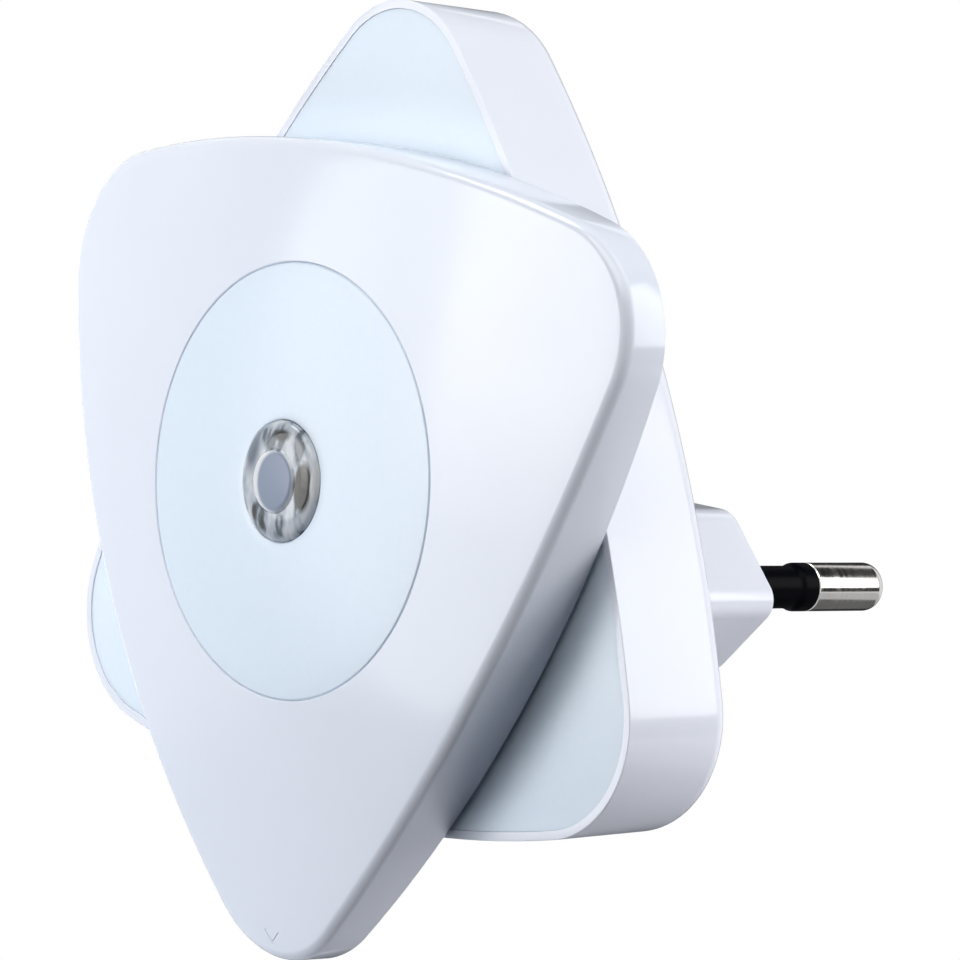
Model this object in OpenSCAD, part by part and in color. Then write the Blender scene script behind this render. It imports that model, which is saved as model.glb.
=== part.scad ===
// Plug in night light: a three-cornered housing on a two pin plug, with a
// three-cornered front cover that turns on a fixed round hub.
// Millimetres. The housing hangs upright, its front faces -Y and its pins
// point to +Y. The origin is the middle of the plug's end face.
// The modules are drawn lying on the plug: X right, Y up, Z towards the front.

/* [Outline] */
// Distance from the hub axis to the centre of each corner arc
corner_reach = 28.5; // [20:0.5:40]
// Radius of the three corner arcs
corner_r = 9.25; // [6:0.25:14]
// Radius of the three bowed sides
side_r = 116; // [80:1:300]
// Height of the hub axis above the middle of the plug
hub_height = 7; // [0:0.5:10]

/* [Plug] */
// Distance between the two pins
pin_pitch = 18.6; // [17:0.1:19]
// Diameter of the bare part of a pin
pin_d = 4; // [3:0.1:5]
// Length of a pin outside the plug
pin_l = 19; // [15:0.5:22]
// Length of the insulating sleeve on a pin
sleeve_l = 11; // [8:0.5:13]
// Diameter of the sleeve
sleeve_d = 3.5; // [3:0.1:3.9]
// Diameter of the metal under the sleeve
shank_d = 2.6; // [2:0.1:3]
// Length of the full-size collar at the end of the sleeve
collar_l = 1.8; // [1:0.1:3]
// Width of the plug across its two noses
plug_w = 35; // [30:0.5:37]
// Thickness of the plug
plug_t = 13.2; // [12:0.1:14]
// Radius of the two noses
nose_r = 1.8; // [1:0.1:3]
// Radius along the top and bottom facets
facet_r = 3; // [1:0.5:4]
// Length of the plug from its end face to the housing
plug_l = 18.7; // [15:0.1:24]
// Thickness of the plug's end wall
plug_end_t = 2; // [1.5:0.1:3]

/* [Housing] */
// Depth of the housing behind the turning cover
housing_depth = 10.8; // [9:0.1:16]
// Wall thickness of the housing
wall_t = 1.6; // [1.2:0.1:2.4]
// Thickness of the housing's back wall
back_t = 1.8; // [1.2:0.1:2.4]
// Width of the rim in front of the wall
rim_w = 0.7; // [0.5:0.1:1.2]
// How much smaller the outline is at the back
draft = 0.4; // [0.1:0.1:1]
// Radius of the housing's back edge
back_edge_r = 1.8; // [0.5:0.1:3]
// Radius of the housing's front rim
rim_edge_r = 0.35; // [0.1:0.05:0.6]

/* [Diffuser] */
// Thickness of the diffuser plate
diffuser_t = 1.6; // [1:0.1:2.5]
// How far the diffuser lies below the rim
diffuser_drop = 0.25; // [0:0.05:1]
// Gap between the diffuser and the rim
diffuser_gap = 0.1; // [0.05:0.05:0.3]

/* [Cover] */
// Depth of the cover from its back edge to the top of its dome
cover_depth = 7.5; // [6.5:0.1:12]
// Radius of the domed face
dome_r = 185; // [120:5:500]
// Thickness of the domed face
face_t = 1.8; // [1.2:0.1:2.4]
// Radius of the edge around the domed face
face_edge_r = 0.8; // [0.3:0.1:2]
// Gap between the cover and the housing rim
cover_gap = 0.3; // [0.2:0.05:1]
// Travel of the cover to each side
turn_deg = 60; // [30:1:60]
// Depth of the index mark near the tip
mark_depth = 0.15; // [0.05:0.05:0.3]

/* [Hub] */
// Radius of the hub disc
disc_r = 16.9; // [14:0.1:18]
// Gap around the disc
disc_gap = 0.25; // [0.15:0.05:0.5]
// Radius of the journal that the cover turns on
journal_r = 15.3; // [12:0.1:16]
// Running clearance of the cover on the journal
run_gap = 0.08; // [0.02:0.01:0.1]
// Wall thickness of the journal
journal_t = 1.4; // [1:0.1:2]
// Thickness of the disc's rim at its edge
disc_rim_t = 1.5; // [1:0.1:2.5]
// Distance of the hub screws from the hub axis
hub_screw_reach = 11.5; // [10:0.1:12]

/* [Lens] */
// Radius of the lens in front of the light sensor
lens_r = 4.7; // [3:0.1:6]
// Radius of the flat in the middle of the lens
lens_flat_r = 2.5; // [1:0.1:4]
// How far the lens stands out of the disc
lens_proud = 0.9; // [0.2:0.1:2]
// Radius of the stem behind the lens
stem_r = 3.6; // [2.5:0.1:4]

/* [Screws] */
// Radius of the housing screws' thread
housing_screw_r = 1.1; // [0.9:0.05:1.5]
// Length of the housing screws under the head
housing_screw_l = 6.5; // [5:0.5:8]
// Radius of the hub screws' thread
hub_screw_r = 1; // [0.8:0.05:1.2]
// Length of the hub screws under the head
hub_screw_l = 6; // [4:0.5:8]
// Distance of the housing screws from the middle of the outline's sides
housing_screw_inset = 4.9; // [4.6:0.1:8]

/* [Circuit board] */
// Thickness of the circuit board
board_t = 1.2; // [0.8:0.2:1.6]
// Space between the back wall and the board
board_lift = 2.4; // [1.5:0.1:3]
// Gap between the board and the housing wall
board_gap = 0.7; // [0.3:0.1:1.5]

/* [Hidden] */
$fn = 96;
arc_fn = 720;
edge_steps = 4;
dome_rings = 5;
dome_core_r = 16;
arc_steps = 6;
eps = 0.01;
thread_gap = 0.03;
pin_x = pin_pitch / 2;
pin_r = pin_d / 2;

// Outline: the side arcs meet the corner arcs without a corner.
arc_reach = side_r - corner_r;
half_chord = corner_reach * sin(60);
side_half_deg = asin(half_chord / arc_reach);
side_shift = sqrt(arc_reach * arc_reach - half_chord * half_chord) - corner_reach / 2;
side_reach = side_r - side_shift;
screw_reach = side_reach - housing_screw_inset;

// Levels, counted forwards from the plug's end face.
back_z = plug_l;
floor_z = back_z + back_t;
rim_z = back_z + housing_depth;
diffuser_front_z = rim_z - diffuser_drop;
diffuser_back_z = diffuser_front_z - diffuser_t;
board_back_z = floor_z + board_lift;
board_front_z = board_back_z + board_t;
cover_back_z = rim_z + cover_gap;
dome_z = cover_back_z + cover_depth;
disc_edge_z = dome_z - disc_r * disc_r / (2 * dome_r);
disc_back_z = disc_edge_z - disc_rim_t;

// Cover bearing.
flange_gap = 0.15;
flange_t = 1.45;
flange_r = 19;
flange_front_z = disc_back_z - flange_gap;
flange_back_z = flange_front_z - flange_t;
bush_in_r = journal_r + run_gap;
bush_out_r = disc_r;
ring_t = 0.7;
ring_gap = 0.05;
ring_in_r = journal_r + 0.3;
ring_out_r = 17.2;
bush_back_z = diffuser_front_z + ring_t + ring_gap;

// Turning stops: a lug on the cover between two blocks on the diffuser.
stop_in_r = 17.5;
stop_out_r = 19.5;
lug_half_deg = 4;
lug_in_r = (bush_in_r + bush_out_r) / 2;
stop_half_deg = 3;
stop_spare_deg = 1;
stop_at_deg = turn_deg + lug_half_deg + stop_half_deg + stop_spare_deg;
stop_h = 2.25;

// Screw seats.
head_r = 1.95;
head_h = 1.25;
sink_r = 2.2;
post_wall = 1.2;
seat_t = 2;
seat_z = board_back_z - seat_t;
diffuser_post_r = 2.5;
hub_post_r = 2.2;
hole_spare = 0.4;
recess_r = 1.1;
recess_w = 0.5;
recess_t = 0.6;
point_l = 0.8;

// Index mark: a V of two short grooves.
mark_inset = 1.9;
mark_l = 1.3;
mark_w = 0.22;
mark_half_deg = 42;

// Lens and light sensor.
lens_seat_t = 0.9;
lens_seat_z = dome_z - lens_seat_t;
lens_gap = 0.1;
stem_gap = 0.05;
stem_l = 2.3;
tube_out_r = 4.6;
tube_in_r = stem_r + stem_gap;
sensor_r = 1.5;
sensor_flange_r = 1.9;
sensor_flange_t = 0.8;
sensor_h = 5;
sensor_gap = 0.5;
sensor_top_z = lens_seat_z - stem_l - sensor_gap;
sensor_base_z = sensor_top_z - sensor_h;
leg_x = 1.27;
leg_w = 0.5;

// Inside the plug.
plug_wall_t = 1.6;
pin_head_r = 2.6;
pin_head_l = 4;
pin_head_z = plug_end_t + pin_head_l;
tail_r = 1.8;
tail_l = 3;
facet_gap = 0.58;
facet_meet_x = plug_w / 2 - nose_r + (nose_r - plug_wall_t) * sqrt(2) - facet_gap;
clamp_h = 6.4;
clamp_t = 2;
clamp_nose = 1;
clamp_front_z = pin_head_z + clamp_t;
clamp_post_r = 2.3;
clamp_hole_z = clamp_front_z - housing_screw_l - hole_spare;
strip_t = 0.4;
strip_w = 4;
strip_edge = 0.6;
strip_x = facet_meet_x - strip_w / 2;
strip_in_x = pin_x - tail_r - strip_edge;

// Circuit parts.
film_w = 13;
film_t = 5;
film_h = 11;
film_gap = 1;
film_x = film_w / 2 + film_gap + strip_t - strip_x;
can_r = 3.15;
can_h = 11;
can_gap = 1.25;
can_x = film_x + film_w / 2 + can_gap + can_r;
led_w = 3.5;
led_t = 2.8;
led_h = 0.8;
led_case_h = 0.6;
led_face_r = 1.1;
corner_led_reach = 27;
hub_led_reach = 9;
bridge_w = 4.9;
bridge_t = 4.1;
bridge_h = 2.5;
bridge_y = 18.5;
bridge_foot_x = 1.25;
foot_w = 0.6;
foot_l = 0.6;
fuse_r = 1.3;
fuse_l = 7.5;
diode_r = 0.8;
diode_l = 3.5;
side_part_reach = 18.5;
lead_r = 0.3;
lead_l = 1.2;
fuse_deg = 210;
diode_deg = 330;
chip_w = 1.6;
chip_l = 3.2;
chip_h = 0.6;
chip_pitch = 5;
chip_gap = 3.4;
chip_y = chip_gap + chip_w / 2 + diffuser_post_r - screw_reach;
transistor_w = 2.9;
transistor_t = 1.5;
transistor_h = 1.1;
transistor_x = 10.4;
transistor_y = 11;
transistor_foot_x = 1;
pad_t = 0.3;

// Colours.
shell_white = [0.90, 0.91, 0.94];
disc_white = [0.86, 0.91, 0.96];
diffuser_white = [0.88, 0.93, 0.97];
film_red = [0.72, 0.18, 0.12];
can_blue = [0.12, 0.14, 0.20];
fuse_green = [0.45, 0.62, 0.50];
diode_orange = [0.75, 0.35, 0.20];
clamp_ivory = [0.85, 0.85, 0.82];
steel = [0.72, 0.72, 0.74];
nickel = [0.78, 0.77, 0.75];
brass_tone = [0.79, 0.65, 0.35];
black = [0.03, 0.03, 0.04];
board_tone = [0.80, 0.78, 0.66];
led_tone = [0.93, 0.88, 0.45];
clear_tone = [0.75, 0.80, 0.84];

// Directions of the points on the cover's edge, closer together at its corners.
corner_steps = 14;
bow_steps = 12;
corner_span = 60 - atan2(side_r * sin(side_half_deg),
    side_r * cos(side_half_deg) - side_shift);
edge_degs = [for (k = [0 : 2])
    each concat(
        [for (i = [0 : corner_steps - 1])
            270 + 120 * k + corner_span * (2 * i / corner_steps - 1)],
        [for (i = [0 : bow_steps - 1])
            270 + 120 * k + corner_span + (120 - 2 * corner_span) * i / bow_steps])];

// Turns a lying piece upright: its front to -Y, its top to +Z.
module upright() {
    rotate([90, 0, 0])
    children();
}

// Moves a piece from the plug's middle to the hub axis.
module at_hub(z = 0) {
    translate([0, hub_height, z])
    children();
}

// Three copies, turned around the hub axis; the first one at the given angle.
module thrice(first_deg) {
    for (k = [0 : 2])
        rotate([0, 0, first_deg + 120 * k])
        children();
}

function polar(r, deg) = [r * cos(deg), r * sin(deg)];
function dome_at(r) = dome_z - r * r / (2 * dome_r);

// Distance from the hub axis to the triangle's edge in one direction, corner
// down; t is 60 towards a corner and 0 towards the middle of a side.
function edge_at(deg, inset) =
    let (t = abs((deg + 90) % 120 - 60),
        bow_r = side_r - inset,
        tip_r = corner_r - inset,
        end_x = bow_r * cos(side_half_deg) - side_shift,
        end_y = bow_r * sin(side_half_deg),
        u = 60 - t)
    t <= atan2(end_y, end_x)
        ? sqrt(pow(bow_r, 2) - pow(side_shift * sin(t), 2)) - side_shift * cos(t)
        : corner_reach * cos(u) + sqrt(pow(tip_r, 2) - pow(corner_reach * sin(u), 2));

// Triangle with rounded corners and bowed sides, one corner down.
module triangle_area(inset) {
    polygon([for (deg = edge_degs) polar(edge_at(deg, inset), deg)]);
}

// Plug outline: flat top and bottom, facets at 45 degrees to a rounded nose.
module plug_area(inset) {
    nose_x = plug_w / 2 - nose_r;
    facet_y = plug_t / 2 - facet_r;
    facet_x = nose_x + (nose_r - facet_r) * sqrt(2) - facet_y;
    function arc(x, y, r, from, to) =
        [for (i = [0 : arc_steps]) [x, y] + polar(r, from + (to - from) * i / arc_steps)];
    n = nose_r - inset;
    f = facet_r - inset;
    polygon(concat(
        arc(nose_x, 0, n, -45, 45),
        arc(facet_x, facet_y, f, 45, 90),
        arc(-facet_x, facet_y, f, 90, 135),
        arc(-nose_x, 0, n, 135, 225),
        arc(-facet_x, -facet_y, f, 225, 270),
        arc(facet_x, -facet_y, f, 270, 315)));
}

// Faces of a surface through rings with the same number of points.
function ring_faces(rows, n, first) = [for (i = [0 : rows - 2], j = [0 : n - 1])
    let (a = first + i * n + j, b = first + i * n + (j + 1) % n)
    each [[a, a + n, b + n], [a, b + n, b]]];

// One flat ring on the triangle's edge.
function flat_ring(inset, z) = [for (deg = edge_degs)
    let (r = edge_at(deg, inset))
    [r * cos(deg), r * sin(deg), z]];

// One ring on the dome, from the hub's opening (part 0) to the edge (part 1).
function dome_ring(inset, part, drop) = [for (deg = edge_degs)
    let (r = dome_core_r + part * (edge_at(deg, inset) - dome_core_r))
    [r * cos(deg), r * sin(deg), dome_at(r) - drop]];

// Solid body of the housing, with its draft and its rounded edges.
module housing_block() {
    n = len(edge_degs);
    rings = concat(
        [for (a = [0 : 90 / edge_steps : 90])
            flat_ring(draft + back_edge_r * (1 - sin(a)),
                back_z + back_edge_r * (1 - cos(a)))],
        [for (a = [90 : -45 : 0])
            flat_ring(rim_edge_r * (1 - sin(a)), rim_z - rim_edge_r * (1 - cos(a)))]);
    rows = len(rings);
    polyhedron(points = [for (r = rings) each r],
        faces = concat([[for (j = [0 : n - 1]) j]], ring_faces(rows, n, 0),
            [[for (j = [n - 1 : -1 : 0]) (rows - 1) * n + j]]));
}

// Open-backed shell of the cover with its domed face and rounded front edge.
module cover_shell() {
    n = len(edge_degs);
    rings = concat(
        [for (k = [0 : dome_rings]) dome_ring(wall_t, k / dome_rings, face_t)],
        [flat_ring(wall_t, cover_back_z), flat_ring(0, cover_back_z)],
        [for (a = [90 : -30 : 0])
            dome_ring(face_edge_r * (1 - sin(a)), 1, face_edge_r * (1 - cos(a)))],
        [for (k = [dome_rings - 1 : -1 : 0]) dome_ring(face_edge_r, k / dome_rings, 0)]);
    rows = len(rings);
    closing = [for (j = [0 : n - 1])
        let (a = (rows - 1) * n + j, b = (rows - 1) * n + (j + 1) % n)
        each [[a, j, (j + 1) % n], [a, (j + 1) % n, b]]];
    polyhedron(points = [for (r = rings) each r],
        faces = concat(ring_faces(rows, n, 0), closing));
}

// One-piece moulding: back shell with the hollow plug, screw seats and pin seats.
module rear_housing() {
    color(shell_white)
    upright() {
        difference() {
            union() {
                at_hub()
                    rotate([0, 0, 180])
                    housing_block();
                linear_extrude(height = floor_z)
                    plug_area(0);
            }
            at_hub(floor_z)
                rotate([0, 0, 180])
                linear_extrude(height = housing_depth)
                triangle_area(wall_t + draft);
            at_hub(diffuser_back_z)
                rotate([0, 0, 180])
                linear_extrude(height = housing_depth)
                triangle_area(rim_w);
            translate([0, 0, plug_end_t])
                linear_extrude(height = floor_z)
                plug_area(plug_wall_t);
            for (s = [-1, 1])
                translate([s * pin_x, 0, -1])
                cylinder(r = sleeve_d / 2 + thread_gap, h = plug_end_t + 2);
            at_hub()
                thrice(30)
                translate([screw_reach, 0, back_z - 1])
                cylinder(r = sink_r, h = seat_z - back_z + 1);
            translate([0, 0, clamp_hole_z])
                cylinder(r = housing_screw_r + thread_gap, h = plug_end_t);
        }
        at_hub()
            thrice(30)
            translate([screw_reach, 0, 0])
            screw_seat();
        difference() {
            translate([0, 0, plug_end_t - eps])
                cylinder(r = clamp_post_r, h = pin_head_l + eps);
            translate([0, 0, clamp_hole_z])
                cylinder(r = housing_screw_r + thread_gap, h = pin_head_z);
        }
    }
}

// Post on the back wall with the seat of a housing screw inside it.
module screw_seat() {
    difference() {
        translate([0, 0, back_z + back_t / 2])
            cylinder(r = sink_r + post_wall, h = board_back_z - back_z - back_t / 2);
        translate([0, 0, back_z - 1])
            cylinder(r = sink_r, h = seat_z - back_z + 1);
        translate([0, 0, back_z - 1])
            cylinder(r = housing_screw_r + 2 * thread_gap, h = housing_depth);
    }
}

// Clear moulded plate in the rim, with screw posts behind and stops in front.
module diffuser() {
    color(diffuser_white)
    upright()
    at_hub() {
        difference() {
            union() {
                translate([0, 0, diffuser_back_z])
                    rotate([0, 0, 180])
                    linear_extrude(height = diffuser_t)
                    triangle_area(rim_w + diffuser_gap);
                thrice(30)
                    translate([screw_reach, 0, board_front_z])
                    cylinder(r = diffuser_post_r,
                        h = diffuser_back_z - board_front_z + eps);
            }
            translate([0, 0, diffuser_back_z - 1])
                cylinder(r = tube_out_r + 2 * stem_gap, h = diffuser_t + 2);
            thrice(90)
                translate([hub_screw_reach, 0, diffuser_back_z - 1])
                cylinder(r = hub_screw_r + 2 * thread_gap, h = diffuser_t + 2);
            thrice(30)
                translate([screw_reach, 0, board_front_z - 1])
                cylinder(r = housing_screw_r + thread_gap,
                    h = seat_z + housing_screw_l - board_front_z + 1 + hole_spare);
        }
        for (s = [-1, 1])
            rotate([0, 0, -90 + s * stop_at_deg - stop_half_deg])
            translate([0, 0, diffuser_front_z - eps])
            rotate_extrude(angle = 2 * stop_half_deg, $fn = arc_fn)
            translate([stop_in_r, 0])
            square([stop_out_r - stop_in_r, stop_h + eps]);
    }
}

// Fixed hub: domed disc, the journal behind it and three screw posts.
module hub() {
    color(disc_white)
    upright()
    at_hub() {
        difference() {
            intersection() {
                translate([0, 0, disc_back_z])
                    cylinder(r = disc_r, h = dome_z - disc_back_z);
                translate([0, 0, dome_z - dome_r])
                    sphere(r = dome_r, $fn = arc_fn);
            }
            translate([0, 0, disc_back_z - 1])
                cylinder(r = stem_r + stem_gap, h = dome_z);
            translate([0, 0, lens_seat_z])
                cylinder(r = lens_r + lens_gap, h = dome_z);
        }
        translate([0, 0, diffuser_front_z])
            difference() {
                cylinder(r = journal_r, h = disc_back_z - diffuser_front_z + eps);
                translate([0, 0, -1])
                    cylinder(r = journal_r - journal_t, h = dome_z);
            }
        thrice(90)
            translate([hub_screw_reach, 0, diffuser_front_z])
            difference() {
                cylinder(r = hub_post_r, h = disc_back_z - diffuser_front_z + eps);
                translate([0, 0, -1])
                    cylinder(r = hub_screw_r + thread_gap,
                        h = hub_screw_l - diffuser_t + 1 + hole_spare);
            }
    }
}

// Turning cover, tip down: domed face, side wall, bearing bush and stop lug.
module front_cover() {
    color(shell_white)
    upright()
    at_hub() {
        difference() {
            cover_shell();
            translate([0, 0, cover_back_z])
                cylinder(r = disc_r + disc_gap, h = cover_depth + 1);
            index_mark();
        }
        translate([0, 0, bush_back_z])
            difference() {
                cylinder(r = bush_out_r, h = flange_front_z - bush_back_z);
                translate([0, 0, -1])
                    cylinder(r = bush_in_r, h = dome_z);
            }
        translate([0, 0, flange_back_z])
            difference() {
                cylinder(r = flange_r, h = flange_t);
                translate([0, 0, -1])
                    cylinder(r = bush_in_r, h = dome_z);
            }
        rotate([0, 0, -90 - lug_half_deg])
            translate([0, 0, bush_back_z])
            rotate_extrude(angle = 2 * lug_half_deg, $fn = arc_fn)
            translate([lug_in_r, 0])
            square([stop_out_r - lug_in_r, flange_back_z - bush_back_z + eps]);
    }
}

// Shallow V that points to the cover's tip.
module index_mark() {
    mark_y = corner_reach + corner_r - mark_inset;
    translate([0, -mark_y, dome_at(mark_y)])
        rotate([asin(mark_y / dome_r), 0, 0])
        for (s = [-1, 1])
            rotate([0, 0, 90 + s * mark_half_deg])
            translate([0, -mark_w / 2, -mark_depth])
            cube([mark_l, mark_w, 1]);
}

// Felt ring that brakes the cover's bush.
module friction_ring() {
    color(black)
    upright()
    at_hub(diffuser_front_z)
        difference() {
            cylinder(r = ring_out_r, h = ring_t);
            translate([0, 0, -1])
                cylinder(r = ring_in_r, h = ring_t + 2);
        }
}

// Clear lens with a flat front, seated in the disc; its stem enters the tube.
module sensor_lens() {
    shoulder = 0.25;
    color(clear_tone)
    upright()
    at_hub()
        rotate_extrude()
        polygon([[0, lens_seat_z - stem_l], [stem_r, lens_seat_z - stem_l],
            [stem_r, lens_seat_z], [lens_r, lens_seat_z],
            [lens_r, dome_z - shoulder / 2], [lens_r - shoulder, dome_z + shoulder],
            [lens_flat_r, dome_z + lens_proud], [0, dome_z + lens_proud]]);
}

// Black tube that keeps the lamp's own light away from the sensor.
module sensor_tube() {
    color(black)
    upright()
    at_hub(board_front_z)
        difference() {
            cylinder(r = tube_out_r, h = disc_back_z - board_front_z);
            translate([0, 0, -1])
                cylinder(r = tube_in_r, h = dome_z);
        }
}

// Phototransistor with a domed tip.
module light_sensor() {
    color(clear_tone)
    upright()
    at_hub(sensor_base_z) {
        cylinder(r = sensor_flange_r, h = sensor_flange_t);
        cylinder(r = sensor_r, h = sensor_top_z - sensor_base_z - sensor_r);
        translate([0, 0, sensor_top_z - sensor_base_z - sensor_r])
            sphere(r = sensor_r);
    }
}

// Two legs that carry the sensor above the board.
module sensor_legs() {
    color(steel)
    upright()
    at_hub(board_front_z)
        for (s = [-1, 1])
            translate([s * leg_x - leg_w / 2, -leg_w / 2, 0])
            cube([leg_w, leg_w, sensor_base_z - board_front_z]);
}

// Board clamped between the housing's screw seats and the diffuser's posts.
module circuit_board() {
    color(board_tone)
    upright()
    at_hub(board_back_z)
        difference() {
            rotate([0, 0, 180])
                linear_extrude(height = board_t)
                triangle_area(wall_t + draft + board_gap);
            thrice(30)
                translate([screw_reach, 0, -1])
                cylinder(r = housing_screw_r + 2 * thread_gap, h = board_t + 2);
        }
}

// One light-emitting diode, face to the front.
module led() {
    translate([-led_w / 2, -led_t / 2, 0])
        cube([led_w, led_t, led_case_h]);
    cylinder(r = led_face_r, h = led_h);
}

// Light-emitting diodes under the diffuser's three corners.
module corner_leds() {
    color(led_tone)
    upright()
    at_hub(board_front_z)
        thrice(90)
        translate([corner_led_reach, 0, 0])
        led();
}

// Light-emitting diodes around the sensor tube.
module hub_leds() {
    color(led_tone)
    upright()
    at_hub(board_front_z)
        thrice(30)
        translate([hub_led_reach, 0, 0])
        led();
}

// Series capacitor of the supply, hanging into the plug.
module film_capacitor() {
    color(film_red)
    upright()
        translate([film_x - film_w / 2, -film_t / 2, board_back_z - film_h])
        cube([film_w, film_t, film_h]);
}

// Electrolytic capacitor, hanging into the plug.
module smoothing_capacitor() {
    color(can_blue)
    upright()
        translate([can_x, 0, board_back_z - can_h])
        cylinder(r = can_r, h = can_h);
}

// Small rectifier block with four flat feet.
module bridge_rectifier() {
    color(black)
    upright()
    at_hub(board_front_z)
        translate([0, bridge_y, 0]) {
            translate([-bridge_w / 2, -bridge_t / 2, 0])
                cube([bridge_w, bridge_t, bridge_h]);
            for (sx = [-1, 1])
                translate([sx * bridge_foot_x - foot_w / 2, -bridge_t / 2 - foot_l, 0])
                cube([foot_w, bridge_t + 2 * foot_l, pad_t]);
        }
}

// Round part lying across the board's corner, with a lead at each end.
module lying_part(r, l) {
    translate([side_part_reach, 0, r])
        rotate([90, 0, 0]) {
            translate([0, 0, -l / 2])
                cylinder(r = r, h = l);
            translate([0, 0, -l / 2 - lead_l])
                cylinder(r = lead_r, h = l + 2 * lead_l);
        }
    for (s = [-1, 1])
        translate([side_part_reach, s * (l / 2 + lead_l - lead_r), 0])
        cylinder(r = lead_r, h = r);
}

// Fusible resistor in the supply line.
module fuse_resistor() {
    color(fuse_green)
    upright()
    at_hub(board_front_z)
        rotate([0, 0, fuse_deg])
        lying_part(fuse_r, fuse_l);
}

// Zener diode that limits the supply.
module zener_diode() {
    color(diode_orange)
    upright()
    at_hub(board_front_z)
        rotate([0, 0, diode_deg])
        lying_part(diode_r, diode_l);
}

// Row of four chip resistors.
module chip_resistors() {
    color(black)
    upright()
    at_hub(board_front_z)
        for (k = [-1.5 : 1 : 1.5])
            translate([k * chip_pitch - chip_l / 2, chip_y - chip_w / 2, 0])
            cube([chip_l, chip_w, chip_h]);
}

// Switching transistor with three flat feet.
module transistor() {
    color(black)
    upright()
    at_hub(board_front_z)
        translate([transistor_x, transistor_y, 0]) {
            translate([-transistor_w / 2, -transistor_t / 2, 0])
                cube([transistor_w, transistor_t, transistor_h]);
            for (s = [-1, 1])
                translate([s * transistor_foot_x - leg_w / 2, -transistor_t, 0])
                cube([leg_w, transistor_t, pad_t]);
            translate([-leg_w / 2, 0, 0])
                cube([leg_w, transistor_t, pad_t]);
        }
}

// Turned pin: round tip, thin shank in the sleeve, head and tail in the plug.
module plug_pin() {
    translate([0, 0, -pin_l + pin_r])
        sphere(r = pin_r);
    translate([0, 0, -pin_l + pin_r])
        cylinder(r = pin_r, h = pin_l - pin_r - sleeve_l);
    translate([0, 0, -sleeve_l - eps])
        cylinder(r = shank_d / 2, h = sleeve_l + plug_end_t + 2 * eps);
    translate([0, 0, plug_end_t])
        cylinder(r = pin_head_r, h = pin_head_l);
    translate([0, 0, pin_head_z - eps])
        cylinder(r = tail_r, h = tail_l + eps);
}

module pin_left() {
    color(nickel)
    upright()
        translate([-pin_x, 0, 0])
        plug_pin();
}

module pin_right() {
    color(nickel)
    upright()
        translate([pin_x, 0, 0])
        plug_pin();
}

// Insulating sleeve with a full-size collar at the bare end.
module pin_sleeve() {
    difference() {
        union() {
            translate([0, 0, -sleeve_l])
                cylinder(r = sleeve_d / 2, h = sleeve_l + plug_end_t);
            translate([0, 0, -sleeve_l])
                cylinder(r = pin_r, h = collar_l);
        }
        translate([0, 0, -sleeve_l - 1])
            cylinder(r = shank_d / 2 + thread_gap, h = sleeve_l + plug_end_t + 2);
    }
}

module sleeve_left() {
    color(black)
    upright()
        translate([-pin_x, 0, 0])
        pin_sleeve();
}

module sleeve_right() {
    color(black)
    upright()
        translate([pin_x, 0, 0])
        pin_sleeve();
}

function clamp_side_at(p) = [p[0] * (facet_meet_x - clamp_h / 2), p[1] * clamp_h / 2];
function clamp_nose_at(p) = [p[0] * (facet_meet_x - clamp_nose), p[1] * clamp_nose];

// Bar that presses both pin heads against the plug's end wall.
module pin_clamp() {
    color(clamp_ivory)
    upright()
        translate([0, 0, pin_head_z])
        difference() {
            linear_extrude(height = clamp_t)
                polygon([for (p = [[1, -1], [1, 1], [-1, 1], [-1, -1]])
                    each p[0] == p[1] ? [clamp_nose_at(p), clamp_side_at(p)]
                        : [clamp_side_at(p), clamp_nose_at(p)]]);
            for (s = [-1, 1])
                translate([s * pin_x, 0, -1])
                cylinder(r = tail_r + thread_gap, h = clamp_t + 2);
            translate([0, 0, -1])
                cylinder(r = housing_screw_r + 2 * thread_gap, h = clamp_t + 2);
        }
}

// Pan head screw, head up, with a crossed recess; its seat is at z = 0.
module pan_screw(r, l) {
    difference() {
        cylinder(r = head_r, h = head_h);
        for (a = [0, 90])
            rotate([0, 0, a])
            translate([-recess_r, -recess_w / 2, head_h - recess_t])
            cube([2 * recess_r, recess_w, head_h]);
    }
    translate([0, 0, -l + point_l])
        cylinder(r = r, h = l - point_l + eps);
    translate([0, 0, -l])
        cylinder(r1 = r / 3, r2 = r, h = point_l);
}

// Screw of the pin clamp.
module clamp_screw() {
    color(steel)
    upright()
        translate([0, 0, clamp_front_z])
        pan_screw(housing_screw_r, housing_screw_l);
}

// Brass strip from a pin's tail to the board.
module contact_strip() {
    difference() {
        translate([strip_in_x, -strip_w / 2, clamp_front_z])
            cube([strip_x - strip_in_x, strip_w, strip_t]);
        translate([pin_x, 0, clamp_front_z - 1])
            cylinder(r = tail_r + thread_gap, h = 2);
    }
    translate([strip_x - strip_t, -strip_w / 2, clamp_front_z])
        cube([strip_t, strip_w, board_back_z - clamp_front_z]);
}

module contact_strip_left() {
    color(brass_tone)
    upright()
        mirror([1, 0, 0])
        contact_strip();
}

module contact_strip_right() {
    color(brass_tone)
    upright()
        contact_strip();
}

// Three screws from the back through the seats and the board into the diffuser.
module housing_screws() {
    color(steel)
    upright()
    at_hub(seat_z)
        thrice(30)
        translate([screw_reach, 0, 0])
        mirror([0, 0, 1])
        pan_screw(housing_screw_r, housing_screw_l);
}

// Three screws from behind the diffuser into the hub's posts.
module hub_screws() {
    color(steel)
    upright()
    at_hub(diffuser_back_z)
        thrice(90)
        translate([hub_screw_reach, 0, 0])
        mirror([0, 0, 1])
        pan_screw(hub_screw_r, hub_screw_l);
}

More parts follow.
